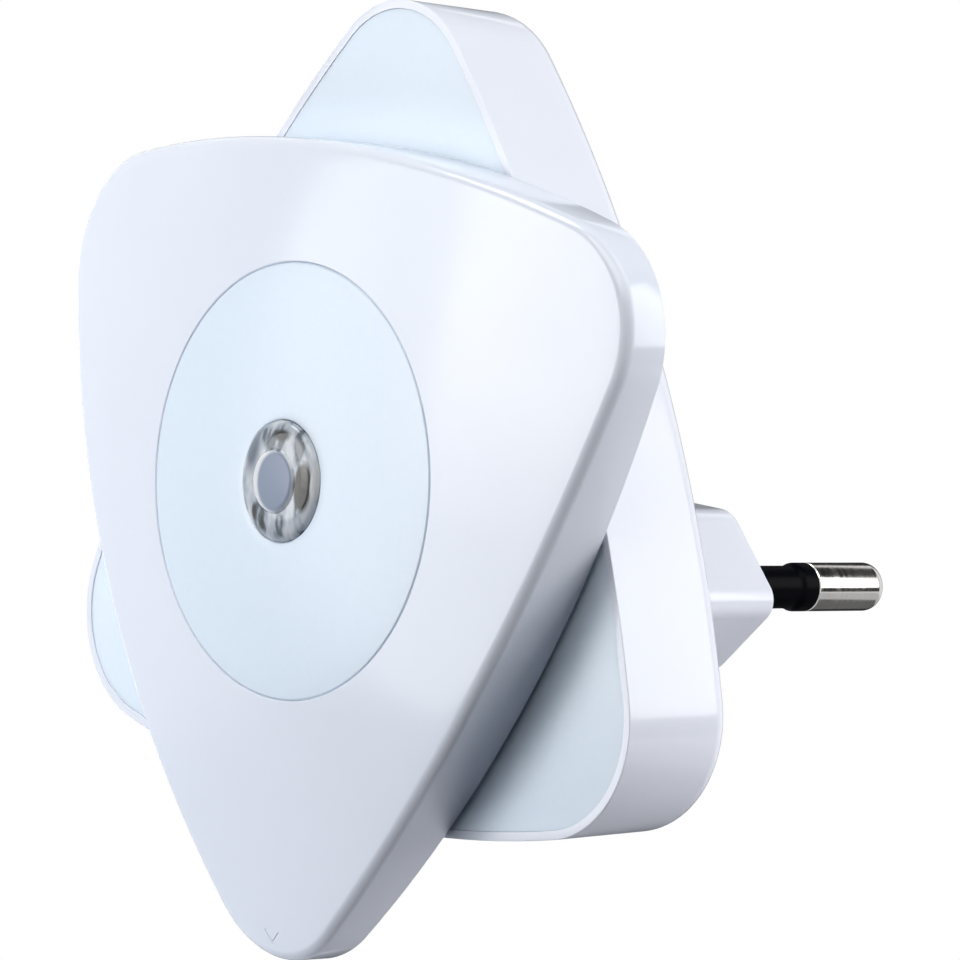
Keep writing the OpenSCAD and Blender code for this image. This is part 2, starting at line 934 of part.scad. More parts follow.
rear_housing();
diffuser();
hub();
front_cover();
friction_ring();
sensor_lens();
sensor_tube();
light_sensor();
sensor_legs();
circuit_board();
corner_leds();
hub_leds();
film_capacitor();
smoothing_capacitor();
bridge_rectifier();
fuse_resistor();
zener_diode();
chip_resistors();
transistor();
pin_left();
pin_right();
sleeve_left();
sleeve_right();
pin_clamp();
clamp_screw();
contact_strip_left();
contact_strip_right();
housing_screws();
hub_screws();
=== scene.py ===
import math
import bmesh
import bpy
from mathutils import Matrix, Vector


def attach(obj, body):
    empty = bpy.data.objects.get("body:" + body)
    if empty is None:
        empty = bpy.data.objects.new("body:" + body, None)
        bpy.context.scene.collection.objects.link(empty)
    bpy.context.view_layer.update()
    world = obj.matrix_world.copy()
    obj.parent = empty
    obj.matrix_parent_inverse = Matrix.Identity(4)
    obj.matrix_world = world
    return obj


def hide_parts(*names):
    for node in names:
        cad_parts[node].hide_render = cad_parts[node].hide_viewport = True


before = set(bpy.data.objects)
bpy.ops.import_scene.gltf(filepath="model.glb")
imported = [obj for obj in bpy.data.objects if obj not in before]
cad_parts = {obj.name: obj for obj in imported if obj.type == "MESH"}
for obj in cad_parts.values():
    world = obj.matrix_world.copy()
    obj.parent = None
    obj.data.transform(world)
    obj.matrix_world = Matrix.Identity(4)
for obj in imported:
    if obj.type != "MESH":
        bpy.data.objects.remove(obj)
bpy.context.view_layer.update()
MM = 0.001  # sizes are in mm: -y is the front, +y the pins, z counts from the plug's middle

# ---------------------------------------------------------------------------
# Rear housing. One moulding of glossy white plastic: a rounded triangle with one
# corner up, a hollow plug on its back, and three sunk holes for the screws that
# hold it to the diffuser.
# ---------------------------------------------------------------------------
HUB = (0.0, 7.0)  # x and z of the axis that the cover turns on
CORNER_REACH, CORNER_R, SIDE_R = 28.5, 9.25, 116.0
HALF_CHORD = CORNER_REACH * math.sin(math.radians(60))
SIDE_HALF = math.asin(HALF_CHORD / (SIDE_R - CORNER_R))
SIDE_SHIFT = math.sqrt((SIDE_R - CORNER_R) ** 2 - HALF_CHORD ** 2) - CORNER_REACH / 2
CORNER_STEPS, SIDE_STEPS = 30, 26
PLUG_FACE_Y, BACK_Y, FLOOR_Y, DIFFUSER_BACK_Y, RIM_Y = 0.0, -18.7, -20.5, -27.65, -29.5
WALL, RIM_W, DRAFT, BACK_EDGE, RIM_EDGE, RIM_INNER_EDGE = 1.6, 0.7, 0.4, 1.8, 0.08, 0.03
PLUG_HALF_W, PLUG_HALF_H, NOSE_R, FACET_R, PLUG_EDGE = 17.5, 6.6, 1.8, 3.0, 0.35
SCREW_RING_R, SINK_R, SINK_EDGE = 21.5, 2.2, 0.25
PIN_X, PIN_HOLE_R, PIN_HOLE_DEPTH, PIN_HOLE_EDGE = 9.3, 1.8, 2.0, 0.25
PLUG_ROOT_Y = FLOOR_Y + 0.6
SHARP_DEG = 28  # edges that turn more than this are drawn as hard edges


def edge_points(inset):
    """Points on the triangle's edge around the hub axis, one corner down."""
    out = []
    for k in range(3):
        mid = math.radians(270 + 120 * k)
        cx, cz = CORNER_REACH * math.cos(mid), CORNER_REACH * math.sin(mid)
        half = math.radians(60) - SIDE_HALF
        for i in range(CORNER_STEPS):
            a = mid - half + 2 * half * i / CORNER_STEPS
            out.append((cx + (CORNER_R - inset) * math.cos(a),
                        cz + (CORNER_R - inset) * math.sin(a)))
        bow = mid + math.radians(60)
        bx, bz = -SIDE_SHIFT * math.cos(bow), -SIDE_SHIFT * math.sin(bow)
        for i in range(SIDE_STEPS):
            a = bow - SIDE_HALF + 2 * SIDE_HALF * i / SIDE_STEPS
            out.append((bx + (SIDE_R - inset) * math.cos(a),
                        bz + (SIDE_R - inset) * math.sin(a)))
    return out


def triangle_ring(inset, y, up=False, part=1.0, core=0.0):
    """The edge at depth y, which may be a function of the distance to the hub axis.

    Part draws it in towards a circle of radius core: 1 is the edge and 0 the circle.
    """
    ring = []
    for x, z in edge_points(inset):
        r = math.hypot(x, z)
        k = (core + (r - core) * part) / r
        x, z = x * k, z * k
        if up:
            x, z = -x, -z
        depth = y(r * k) if callable(y) else y
        ring.append(((HUB[0] + x) * MM, depth * MM, (HUB[1] + z) * MM))
    return ring


def finish_mesh(obj):
    """Outward faces, smooth shading and hard edges where the surface turns sharply."""
    bm = bmesh.new()
    bm.from_mesh(obj.data)
    bmesh.ops.remove_doubles(bm, verts=bm.verts, dist=1e-7)
    bmesh.ops.recalc_face_normals(bm, faces=bm.faces)
    for face in bm.faces:
        face.smooth = True
    for e in bm.edges:
        e.smooth = len(e.link_faces) == 2 and e.calc_face_angle() < math.radians(SHARP_DEG)
    bm.to_mesh(obj.data)
    bm.free()


def skin(name, rings, loop=False):
    """Solid through rings of equal length: with closed ends, or the last ring meets the first."""
    n = len(rings[0])
    faces = []
    for i in range(len(rings) if loop else len(rings) - 1):
        a, b = i * n, ((i + 1) % len(rings)) * n
        faces += [(a + j, a + (j + 1) % n, b + (j + 1) % n, b + j) for j in range(n)]
    if not loop:
        faces.append(tuple(reversed(range(n))))
        faces.append(tuple((len(rings) - 1) * n + j for j in range(n)))
    mesh = bpy.data.meshes.new(name)
    mesh.from_pydata([p for ring in rings for p in ring], [], faces)
    mesh.validate()
    obj = bpy.data.objects.new(name, mesh)
    bpy.context.scene.collection.objects.link(obj)
    finish_mesh(obj)
    return obj


def arc(cu, cv, r, start, end, steps):
    """Points (u, v) on an arc, in degrees from +u towards +v."""
    return [(cu + r * math.cos(math.radians(start + (end - start) * i / steps)),
             cv + r * math.sin(math.radians(start + (end - start) * i / steps)))
            for i in range(steps + 1)]


def lathe(name, profile, centre, steps=96, loop=False):
    """Solid turned about an axis along Y through centre (x, z), from a profile of (r, y)."""
    rings = []
    for r, y in profile:
        ring = []
        for j in range(steps):
            a = 2 * math.pi * j / steps
            ring.append(((centre[0] + max(r, 1e-4) * math.cos(a)) * MM, y * MM,
                         (centre[1] + max(r, 1e-4) * math.sin(a)) * MM))
        rings.append(ring)
    return skin(name, rings, loop)


def join_boolean(obj, others, operation):
    """Exact boolean with other objects, applied; the others are removed."""
    for other in others:
        mod = obj.modifiers.new("cut", "BOOLEAN")
        mod.object = other
        mod.operation = operation
        mod.solver = "EXACT"
    graph = bpy.context.evaluated_depsgraph_get()
    mesh = bpy.data.meshes.new_from_object(obj.evaluated_get(graph))
    obj.modifiers.clear()
    obj.data = mesh
    for other in others:
        bpy.data.objects.remove(other, do_unlink=True)
    finish_mesh(obj)


def around_hub(radius, first_deg):
    """Three places (x, z) on a circle around the hub axis."""
    places = []
    for k in range(3):
        a = math.radians(first_deg + 120 * k)
        places.append((HUB[0] + radius * math.cos(a), HUB[1] + radius * math.sin(a)))
    return places


def plug_ring(inset, y):
    """Outline of the plug: flat top and bottom, 45 degree facets and round noses."""
    nose_x = PLUG_HALF_W - NOSE_R
    facet_z = PLUG_HALF_H - FACET_R
    facet_x = nose_x + (NOSE_R - FACET_R) * math.sqrt(2) - facet_z
    points = []
    for cx, cz, r, start, end in ((nose_x, 0, NOSE_R, -45, 45),
                                  (facet_x, facet_z, FACET_R, 45, 90),
                                  (-facet_x, facet_z, FACET_R, 90, 135),
                                  (-nose_x, 0, NOSE_R, 135, 225),
                                  (-facet_x, -facet_z, FACET_R, 225, 270),
                                  (facet_x, -facet_z, FACET_R, 270, 315)):
        points += arc(cx, cz, r - inset, start, end, 8)
    return [(x * MM, y * MM, z * MM) for x, z in points]


outside = []
for inset, y in arc(0, BACK_Y - BACK_EDGE, BACK_EDGE, 90, 180, 10):
    outside.append((BACK_EDGE + inset + DRAFT * (y - RIM_Y) / (BACK_Y - RIM_Y), y))
outside += arc(RIM_EDGE, RIM_Y + RIM_EDGE, RIM_EDGE, 180, 270, 6)
outside += [(RIM_W - RIM_INNER_EDGE, RIM_Y), (RIM_W, RIM_Y + RIM_INNER_EDGE),
            (RIM_W, DIFFUSER_BACK_Y), (WALL + DRAFT, DIFFUSER_BACK_Y), (WALL + DRAFT, FLOOR_Y)]
housing = skin("rear_housing_shell", [triangle_ring(inset, y, up=True) for inset, y in outside])
plug_rings = [plug_ring(0, PLUG_ROOT_Y)]
plug_rings += [plug_ring(inset, y)
               for inset, y in arc(PLUG_EDGE, PLUG_FACE_Y - PLUG_EDGE, PLUG_EDGE, 180, 90, 5)]
join_boolean(housing, [skin("plug", plug_rings)], "UNION")

holes = []
for place in around_hub(SCREW_RING_R, 30):
    holes.append(lathe("sink", [(SINK_R, FLOOR_Y - 0.4), (SINK_R, BACK_Y - SINK_EDGE),
                                (SINK_R + SINK_EDGE, BACK_Y + 0.01),
                                (SINK_R + SINK_EDGE, BACK_Y + 0.7)], place, steps=48))
for x in (-PIN_X, PIN_X):
    holes.append(lathe("pin_hole", [(PIN_HOLE_R, PLUG_FACE_Y - PIN_HOLE_DEPTH),
                                    (PIN_HOLE_R, PLUG_FACE_Y - PIN_HOLE_EDGE),
                                    (PIN_HOLE_R + PIN_HOLE_EDGE, PLUG_FACE_Y + 0.001),
                                    (PIN_HOLE_R + PIN_HOLE_EDGE, PLUG_FACE_Y + 0.5)],
                       (x, 0.0), steps=48))
join_boolean(housing, holes, "DIFFERENCE")


def new_material(name):
    """Material with its node tree, its shader and the piece's own coordinates."""
    mat = bpy.data.materials.new(name)
    mat.use_nodes = True
    tree = mat.node_tree
    shader = tree.nodes["Principled BSDF"]
    coords = tree.nodes.new("ShaderNodeTexCoord").outputs["Object"]
    return mat, tree, shader, coords


def noise(tree, coords, scale, detail=2.0, rough=0.5, stretch=None):
    """Cloudy pattern from 0 to 1; scale counts per metre, and stretch gives x, y, z."""
    node = tree.nodes.new("ShaderNodeTexNoise")
    node.inputs["Scale"].default_value = scale
    node.inputs["Detail"].default_value = detail
    node.inputs["Roughness"].default_value = rough
    if stretch:
        mapping = tree.nodes.new("ShaderNodeMapping")
        mapping.inputs["Scale"].default_value = stretch
        tree.links.new(coords, mapping.inputs["Vector"])
        coords = mapping.outputs["Vector"]
    tree.links.new(coords, node.inputs["Vector"])
    return node.outputs["Fac"]


def ramp(tree, value, stops):
    """Colour ramp; stops of (position, grey or colour)."""
    node = tree.nodes.new("ShaderNodeValToRGB")
    elements = node.color_ramp.elements
    while len(elements) < len(stops):
        elements.new(0.5)
    for element, (position, colour) in zip(elements, stops):
        element.position = position
        element.color = (colour,) * 3 + (1,) if isinstance(colour, float) else (*colour, 1)
    tree.links.new(value, node.inputs["Fac"])
    return node.outputs["Color"]


def clouded(tree, value, low, high):
    """Ramp between two near shades over the middle of a noise."""
    return ramp(tree, value, [(0.3, low), (0.7, high)])


def bump(tree, shader, value, strength, height):
    """Relief on top of what the shader already has; height in metres."""
    node = tree.nodes.new("ShaderNodeBump")
    node.inputs["Strength"].default_value = strength
    node.inputs["Distance"].default_value = height
    tree.links.new(value, node.inputs["Height"])
    last = shader.inputs["Normal"].links
    if last:
        tree.links.new(last[0].from_socket, node.inputs["Normal"])
    tree.links.new(node.outputs["Normal"], shader.inputs["Normal"])


def plastic(name, colour, rough=0.2, change=0.01, peel=0.05, grain=0.0, milky=0.0,
            coat=0.0, specular=0.5, cloud_scale=70):
    """Moulded plastic: faint clouding, uneven gloss, a slight orange peel or a fine grain."""
    mat, tree, shader, coords = new_material(name)
    low = tuple(max(0.0, c * (1 - change)) for c in colour)
    high = tuple(min(1.0, c * (1 + change)) for c in colour)
    tree.links.new(clouded(tree, noise(tree, coords, cloud_scale, 3.0), low, high),
                   shader.inputs["Base Color"])
    tree.links.new(clouded(tree, noise(tree, coords, 240, 4.0), rough * 0.85, rough * 1.15),
                   shader.inputs["Roughness"])
    if peel:
        bump(tree, shader, noise(tree, coords, 420, 1.0), peel, 0.00002)
    if grain:
        bump(tree, shader, noise(tree, coords, 3600, 2.0), grain, 0.00001)
    if milky:
        shader.inputs["Subsurface Weight"].default_value = milky
        shader.inputs["Subsurface Radius"].default_value = (1.0, 1.05, 1.1)
        shader.inputs["Subsurface Scale"].default_value = 0.0012
    shader.inputs["Specular IOR Level"].default_value = specular
    if coat:
        shader.inputs["Coat Weight"].default_value = coat
        shader.inputs["Coat Roughness"].default_value = 0.04
    return mat


def dress(obj, mat, body, node):
    """Material, finish slot and body of a piece, and the CAD node that it replaces."""
    obj.data.materials.clear()
    obj.data.materials.append(mat)
    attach(obj, body)
    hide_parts(node)


dress(housing, plastic("white_plastic", (0.82, 0.85, 0.93), rough=0.13, peel=0.03),
      "main", "rear_housing")

# ---------------------------------------------------------------------------
# Pins. Turned from nickel plated brass, with a head inside the plug's end wall.
# A black sleeve covers each next to the plug and ends in a collar as thick as
# the bare metal.
# ---------------------------------------------------------------------------
PIN_R, PIN_CORE_R, PIN_EDGE, TIP_R, TIP_CROWN = 2.0, 1.3, 0.1, 1.25, 0.1
TAIL_R, TAIL_Y, HEAD_R, HEAD_Y, NECK_Y = 1.8, -9.0, 2.6, -6.0, -2.0
SLEEVE_IN_R, SLEEVE_R, COLLAR_Y, SLEEVE_END_Y, PIN_END_Y = 1.34, 1.75, 8.95, 11.0, 19.0
# The slope up to the collar: how far out, and how far along the pin.
COLLAR_RISE = ((0.0, 0.0), (0.02, 0.15), (0.08, 0.3), (0.17, 0.45), (0.23, 0.6), (0.25, 0.75))

pin_profile = [(0, TAIL_Y), (TAIL_R - 0.05, TAIL_Y), (TAIL_R, TAIL_Y + 0.05), (TAIL_R, HEAD_Y),
               (HEAD_R, HEAD_Y), (HEAD_R, NECK_Y), (PIN_CORE_R, NECK_Y),
               (PIN_CORE_R, SLEEVE_END_Y), (PIN_R - PIN_EDGE, SLEEVE_END_Y),
               (PIN_R, SLEEVE_END_Y + PIN_EDGE)]
pin_profile += arc(PIN_R - TIP_R, PIN_END_Y - TIP_R - TIP_CROWN, TIP_R, 0, 80, 12)
pin_profile += [(PIN_R / 4, PIN_END_Y - 0.03), (0, PIN_END_Y)]
sleeve_profile = [(SLEEVE_IN_R, NECK_Y), (SLEEVE_R - 0.03, NECK_Y), (SLEEVE_R, NECK_Y + 0.03)]
sleeve_profile += [(SLEEVE_R + rise, COLLAR_Y + along) for rise, along in COLLAR_RISE]
sleeve_profile += [(PIN_R, SLEEVE_END_Y - 0.07), (PIN_R - 0.07, SLEEVE_END_Y),
                   (SLEEVE_IN_R, SLEEVE_END_Y)]


def metal(name, dark, light, smooth, rough, scale, detail=3.0, stretch=None,
          relief=0.1, height=0.00001, waves=0.0):
    """Bare metal with the fine marks of turning, rolling or plating."""
    mat, tree, shader, coords = new_material(name)
    marks = noise(tree, coords, scale, detail, stretch=stretch)
    tree.links.new(clouded(tree, marks, dark, light), shader.inputs["Base Color"])
    tree.links.new(clouded(tree, marks, smooth, rough), shader.inputs["Roughness"])
    shader.inputs["Metallic"].default_value = 1.0
    bump(tree, shader, marks, relief, height)
    if waves:
        bump(tree, shader, noise(tree, coords, 500, 2.0), waves, 0.00002)
    return mat


nickel = metal("nickel", (0.60, 0.585, 0.56), (0.68, 0.665, 0.64), 0.10, 0.2, 900,
               stretch=(0.25, 6.0, 0.25), height=0.000012, waves=0.05)
sleeve_black = plastic("sleeve_black", (0.0015, 0.0016, 0.003), rough=0.36, change=0.25,
                       peel=0.05, grain=0.05, specular=0.03)
for side, x in (("left", -PIN_X), ("right", PIN_X)):
    pin = lathe("pin_metal_" + side, pin_profile, (x, 0.0))
    dress(pin, nickel, "main", "pin_" + side)
    sleeve = lathe("pin_sleeve_" + side, sleeve_profile, (x, 0.0), loop=True)
    dress(sleeve, sleeve_black, "main", "sleeve_" + side)

# ---------------------------------------------------------------------------
# Pin clamp, its screw and the two contact strips, all inside the plug. The
# clamp is plain moulded plastic and the strips are bent from rolled brass. All
# screws and the sensor's legs are zinc plated.
# ---------------------------------------------------------------------------
def dress_cad(node, mat):
    """A CAD piece whose shape is right keeps it and gets the material."""
    for slot in bpy.data.objects[node].material_slots:
        slot.material = mat


dress_cad("pin_clamp", plastic("clamp_plastic", (0.70, 0.69, 0.64), rough=0.4, grain=0.15))
zinc = metal("zinc", (0.42, 0.43, 0.45), (0.60, 0.60, 0.60), 0.24, 0.4, 1500, detail=4.0,
             relief=0.12, height=0.00002)
for node in ("clamp_screw", "housing_screws", "hub_screws", "sensor_legs"):
    dress_cad(node, zinc)
brass = metal("rolled_brass", (0.62, 0.42, 0.14), (0.74, 0.53, 0.21), 0.22, 0.36, 700,
              stretch=(8.0, 0.4, 8.0))
for node in ("contact_strip_left", "contact_strip_right"):
    dress_cad(node, brass)

# ---------------------------------------------------------------------------
# Circuit board and its parts. Pale laminate on the diffuser's posts, with the
# two capacitors of the supply reaching into the plug and the light-emitting
# diodes on the side of the diffuser.
# ---------------------------------------------------------------------------
laminate, tree, shader, coords = new_material("laminate")
weave = tree.nodes.new("ShaderNodeTexChecker")
weave.inputs["Scale"].default_value = 1800
tree.links.new(coords, weave.inputs["Vector"])
tree.links.new(clouded(tree, noise(tree, coords, 300, 3.0), (0.60, 0.56, 0.40),
                       (0.70, 0.66, 0.50)), shader.inputs["Base Color"])
shader.inputs["Roughness"].default_value = 0.42
bump(tree, shader, weave.outputs["Fac"], 0.12, 0.00001)
dress_cad("circuit_board", laminate)

led_resin = plastic("led_resin", (0.84, 0.74, 0.22), rough=0.18, change=0.08, peel=0.1)
for node in ("corner_leds", "hub_leds"):
    dress_cad(node, led_resin)
dress_cad("film_capacitor", plastic("dipped_red", (0.42, 0.035, 0.02), rough=0.16,
                                    change=0.12, peel=0.5))
dress_cad("smoothing_capacitor", plastic("shrunk_film", (0.018, 0.024, 0.05), rough=0.24,
                                         change=0.2, peel=0.25))
dress_cad("fuse_resistor", plastic("lacquer_green", (0.17, 0.33, 0.22), rough=0.35,
                                   change=0.15, peel=0.3))
dress_cad("zener_diode", plastic("diode_glass", (0.45, 0.10, 0.03), rough=0.08,
                                 change=0.2, coat=0.6))
case_black = plastic("case_black", (0.012, 0.012, 0.014), rough=0.5, change=0.3, grain=0.3)
for node in ("bridge_rectifier", "chip_resistors", "transistor"):
    dress_cad(node, case_black)

# ---------------------------------------------------------------------------
# Diffuser. Plate of milky plastic that lies inside the housing's rim, with three
# screw posts behind and, under the cover, the two blocks that stop its turn.
# ---------------------------------------------------------------------------
DIFFUSER_FRONT_Y, PLATE_FRONT_Y = -29.25, -29.44
POST_R, POST_END_Y, POST_FOOT_Y, PILOT_R, PILOT_FOOT_Y = 2.5, -24.1, -28.0, 1.13, -27.8
TUBE_HOLE_R, CUT_BACK_Y, CUT_FRONT_Y = 4.7, -27.0, -30.0
HUB_SCREW_RING_R, HUB_SCREW_HOLE_R = 11.5, 1.06
STOP_IN_R, STOP_R, STOP_FOOT_Y, STOP_FRONT_Y, STOP_HALF_DEG = 17.5, 19.5, -29.0, -31.5, 3
LUG_HALF_DEG, TRAVEL_DEG, SPARE_DEG = 4, 60, 1  # the stops stand one degree past the travel


def rod(name, radius, y_back, y_front, place, steps=48):
    """Plain round bar along Y at a place (x, z)."""
    return lathe(name, [(radius, y_back), (radius, y_front)], place, steps)


def ring_sector(name, r_in, r_out, y_back, y_front, mid_deg, half_deg):
    """Curved block around the hub axis."""
    steps = 8
    rings = []
    for y in (y_back, y_front):
        ring = []
        for r, order in ((r_out, range(steps + 1)), (r_in, range(steps, -1, -1))):
            for i in order:
                a = math.radians(mid_deg - half_deg + 2 * half_deg * i / steps)
                ring.append(((HUB[0] + r * math.cos(a)) * MM, y * MM,
                             (HUB[1] + r * math.sin(a)) * MM))
        rings.append(ring)
    return skin(name, rings)


plate_edge = [(RIM_W + 0.06, DIFFUSER_BACK_Y), (RIM_W + 0.01, DIFFUSER_BACK_Y - 0.05),
              (RIM_W + 0.01, PLATE_FRONT_Y + 0.05), (RIM_W + 0.03, PLATE_FRONT_Y + 0.015),
              (RIM_W + 0.08, PLATE_FRONT_Y)]
plate = skin("diffuser_plate", [triangle_ring(inset, y, up=True) for inset, y in plate_edge])
added = []
holes = [rod("tube_hole", TUBE_HOLE_R, CUT_BACK_Y, CUT_FRONT_Y, HUB)]
for place in around_hub(SCREW_RING_R, 30):
    added.append(rod("post", POST_R, POST_END_Y, POST_FOOT_Y, place))
    holes.append(rod("pilot", PILOT_R, POST_END_Y + 0.1, PILOT_FOOT_Y, place, steps=32))
for place in around_hub(HUB_SCREW_RING_R, 90):
    holes.append(rod("screw_hole", HUB_SCREW_HOLE_R, CUT_BACK_Y, CUT_FRONT_Y, place, steps=32))
for turn in (-1, 1):
    stop_deg = -90 + turn * (TRAVEL_DEG + SPARE_DEG + LUG_HALF_DEG + STOP_HALF_DEG)
    added.append(ring_sector("stop", STOP_IN_R, STOP_R, STOP_FOOT_Y, STOP_FRONT_Y, stop_deg,
                             STOP_HALF_DEG))
join_boolean(plate, added, "UNION")
join_boolean(plate, holes, "DIFFERENCE")
dress(plate, plastic("milky_plastic", (0.78, 0.875, 0.99), rough=0.36, change=0.006, peel=0.02,
                     grain=0.04, milky=0.25, specular=0.4, cloud_scale=1500),
      "main", "diffuser")

# ---------------------------------------------------------------------------
# Friction ring. Black pressed felt between the diffuser and the cover's bush,
# where it brakes the cover.
# ---------------------------------------------------------------------------
felt, tree, shader, coords = new_material("felt")
fibres = noise(tree, coords, 2600, 6.0, 0.75)
tree.links.new(clouded(tree, fibres, (0.006, 0.006, 0.008), (0.035, 0.035, 0.04)),
               shader.inputs["Base Color"])
shader.inputs["Roughness"].default_value = 0.95
shader.inputs["Sheen Weight"].default_value = 0.35
bump(tree, shader, fibres, 0.9, 0.00008)
dress_cad("friction_ring", felt)

# ---------------------------------------------------------------------------
# Hub. Domed disc of milky plastic, moulded with the journal behind it that the
# cover turns on; its three posts take the screws from behind the diffuser.
# ---------------------------------------------------------------------------
DOME_Y, DOME_R, DISC_R, DISC_EDGE, SEAM_R = -37.3, 185.0, 16.9, 0.14, 16.96
JOURNAL_R, JOURNAL_IN_R, HUB_POST_R, HUB_PILOT_R, HUB_PILOT_END_Y = 15.3, 13.9, 2.2, 1.03, -34.0
LENS_BORE_R, LENS_STEM_BORE_R, LENS_SEAT_Y = 4.75, 3.65, -36.4


def dome(r, drop=0.0):
    """Depth of the domed front at a distance from the hub axis."""
    return DOME_Y + r * r / (2 * DOME_R) + drop


DISC_BACK_Y = dome(DISC_R) + 1.5
disc_profile = [(JOURNAL_R, DIFFUSER_FRONT_Y), (JOURNAL_R, DISC_BACK_Y),
                (DISC_R - 0.1, DISC_BACK_Y), (DISC_R, DISC_BACK_Y - 0.1),
                (DISC_R, dome(DISC_R) + 0.3), (SEAM_R, dome(DISC_R) + 0.28),
                (SEAM_R, dome(DISC_R) + 0.17)]
disc_profile += arc(DISC_R - DISC_EDGE, dome(DISC_R) + DISC_EDGE, DISC_EDGE, 0, -90, 6)
disc_profile += [(r, dome(r)) for r in (15.5, 14, 12, 10, 8, 6.5, 5.6, 4.98)]
disc_profile += [(4.84, dome(4.8) + 0.03), (LENS_BORE_R, dome(4.8) + 0.12),
                 (LENS_BORE_R, LENS_SEAT_Y), (LENS_STEM_BORE_R, LENS_SEAT_Y),
                 (LENS_STEM_BORE_R, DISC_BACK_Y), (JOURNAL_IN_R, DISC_BACK_Y),
                 (JOURNAL_IN_R, DIFFUSER_FRONT_Y)]
hub = lathe("hub_disc", disc_profile, HUB, steps=192, loop=True)
places = around_hub(HUB_SCREW_RING_R, 90)
join_boolean(hub, [rod("post", HUB_POST_R, DIFFUSER_FRONT_Y, DISC_BACK_Y - 0.3, place)
                   for place in places], "UNION")
join_boolean(hub, [rod("pilot", HUB_PILOT_R, DIFFUSER_FRONT_Y + 0.25, HUB_PILOT_END_Y, place, steps=32)
                   for place in places], "DIFFERENCE")
dress(hub, plastic("disc_plastic", (0.74, 0.835, 0.95), rough=0.2, change=0.006, peel=0.02,
                   milky=0.2, cloud_scale=1500), "main", "hub")

# ---------------------------------------------------------------------------
# Light sensor. A clear moulded lens with a flat frosted front is pressed into
# the disc; behind it a matt black tube leads to the sensor, which stands on two
# legs on the board.
# ---------------------------------------------------------------------------
LENS_R, LENS_STEM_R, LENS_STEM_Y, LENS_EDGE_Y = 4.7, 3.6, -34.1, -37.2
BULGE_IN_R, BULGE_W, BULGE_H, BULGE_STEPS = 2.56, 2.09, 0.7, 12
LENS_FLAT_R, LENS_FRONT_Y, FROSTED_Y = 2.05, -38.2, -38.13
# The soft edge of the flat: how far out from its radius, and how far behind its front.
LENS_SHOULDER = ((0.42, 0.2), (0.31, 0.1), (0.15, 0.03), (0.0, 0.0))
# Reflections and see-through shade painted into the lens colour: dark patches where the black tube and
# the sensor's legs would show through, and a white band as a painted highlight. Each gives centre and
# half size in mm from its axis, softness, colour.
LENS_PAINTED_REFLECTIONS = (((-3.2, 2.2), (1.3, 2.6), 0.3, (0.20, 0.25, 0.33)),
              ((0.3, 3.6), (1.2, 0.6), 0.25, (0.03, 0.035, 0.03)),
              ((3.35, 0.0), (1.0, 2.15), 0.12, (0.02, 0.02, 0.016)),
              ((-2.2, -2.7), (0.42, 0.9), 0.25, (0.05, 0.05, 0.05)),
              ((-1.1, -3.4), (0.35, 0.8), 0.25, (0.08, 0.08, 0.08)),
              ((4.45, 0.6), (0.4, 2.1), 0.2, (1.0, 1.0, 1.0)))

lens_profile = [(0, LENS_STEM_Y), (LENS_STEM_R - 0.1, LENS_STEM_Y),
                (LENS_STEM_R, LENS_STEM_Y - 0.1), (LENS_STEM_R, LENS_SEAT_Y),
                (LENS_R - 0.08, LENS_SEAT_Y), (LENS_R, LENS_SEAT_Y - 0.08),
                (LENS_R, LENS_EDGE_Y)]
for i in range(1, BULGE_STEPS + 1):
    a = math.radians(90 * i / BULGE_STEPS)
    lens_profile.append((BULGE_IN_R + BULGE_W * math.cos(a) ** 0.9,
                         LENS_EDGE_Y - 0.02 - BULGE_H * math.sin(a)))
lens_profile += [(LENS_FLAT_R + out, LENS_FRONT_Y + behind) for out, behind in LENS_SHOULDER]
lens_profile.append((0, LENS_FRONT_Y))
lens = lathe("lens", lens_profile, HUB, steps=128)


def spot(tree, coords, centre, half, soft):
    """1 inside an ellipse on the lens, 0 outside; centre and half size in mm from its axis."""
    moved = tree.nodes.new("ShaderNodeVectorMath")
    moved.operation = "SUBTRACT"
    moved.inputs[1].default_value = (centre[0] * MM, 0, (HUB[1] + centre[1]) * MM)
    tree.links.new(coords, moved.inputs[0])
    scaled = tree.nodes.new("ShaderNodeVectorMath")
    scaled.operation = "MULTIPLY"
    scaled.inputs[1].default_value = (0.5 / (half[0] * MM), 0, 0.5 / (half[1] * MM))
    tree.links.new(moved.outputs[0], scaled.inputs[0])
    length = tree.nodes.new("ShaderNodeVectorMath")
    length.operation = "LENGTH"
    tree.links.new(scaled.outputs[0], length.inputs[0])
    return ramp(tree, length.outputs["Value"], [(0.5 - soft, 1.0), (0.5, 0.0)])


def tinted(tree, factor, base, colour):
    """The base colour, turned to another where the factor is 1."""
    mix = tree.nodes.new("ShaderNodeMix")
    mix.data_type = "RGBA"
    mix.inputs["B"].default_value = (*colour, 1)
    tree.links.new(factor, mix.inputs["Factor"])
    tree.links.new(base, mix.inputs["A"])
    return mix.outputs["Result"]


clear, tree, shader, coords = new_material("clear_plastic")
# The clear ring's colour is painted with light and dark streaks, standing for its reflections and for
# the dark inside seen through it.
painted_streaks = noise(tree, coords, 600, 2.5, stretch=(1.4, 1.0, 0.6))
colour = ramp(tree, painted_streaks, [(0.36, (0.16, 0.19, 0.22)), (0.43, (0.55, 0.62, 0.72)),
                              (0.58, (0.90, 0.94, 1.0))])
# Paint the reflections and the see-through shade into the colour, one patch at a time.
for centre, half, soft, tint in LENS_PAINTED_REFLECTIONS:
    colour = tinted(tree, spot(tree, coords, centre, half, soft), colour, tint)
tree.links.new(colour, shader.inputs["Base Color"])
tree.links.new(clouded(tree, noise(tree, coords, 1500, 3.0), 0.02, 0.05),
               shader.inputs["Roughness"])
shader.inputs["Transmission Weight"].default_value = 0.35
shader.inputs["IOR"].default_value = 1.49
bump(tree, shader, noise(tree, coords, 420, 2.0), 0.3, 0.00008)

